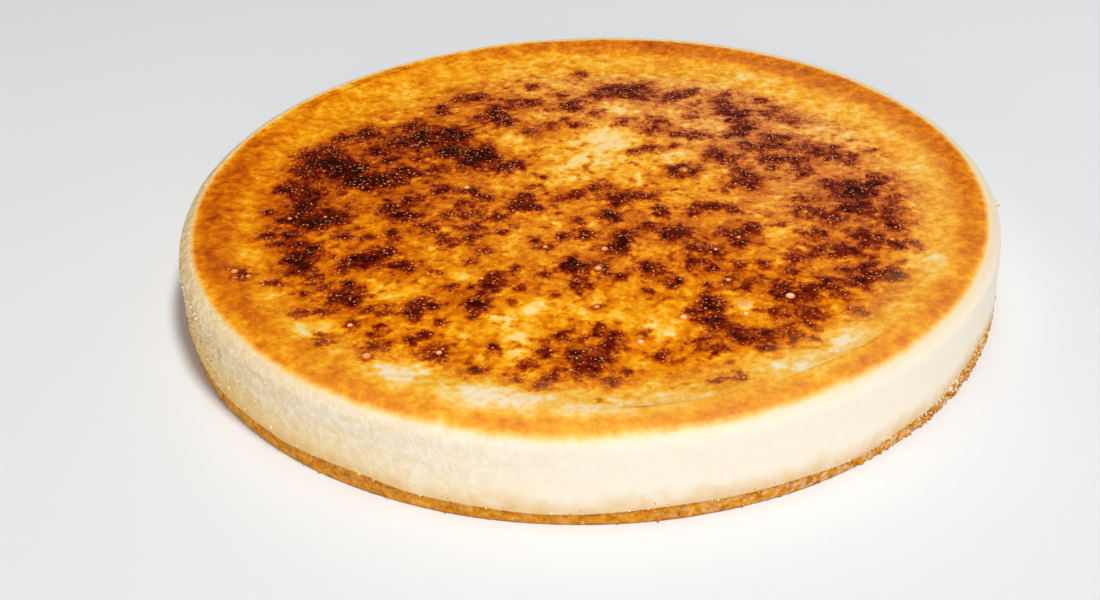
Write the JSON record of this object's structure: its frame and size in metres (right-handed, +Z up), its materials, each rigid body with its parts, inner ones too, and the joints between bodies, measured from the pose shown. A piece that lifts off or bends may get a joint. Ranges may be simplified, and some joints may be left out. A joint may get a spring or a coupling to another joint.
{
  "type": "burnt basque cheesecake",
  "caption": "Whole round burnt cheesecake with a browned, blistered top, a rounded rim and a thin biscuit base.",
  "frame": {"origin": "centre of the flat underside, on the surface the cake stands on", "axes": "+Z up, through the centre of the round cake; -Y towards the viewer of the picture, +X to the right"},
  "size_m": [0.2405, 0.2396, 0.0274],
  "materials": {
    "baked_cheese": "satin",
    "biscuit": "matt and crumbly"
  },
  "bodies": {
    "root": {"cheese_filling": "baked_cheese", "biscuit_base": "biscuit"}
  },
  "joints": []
}
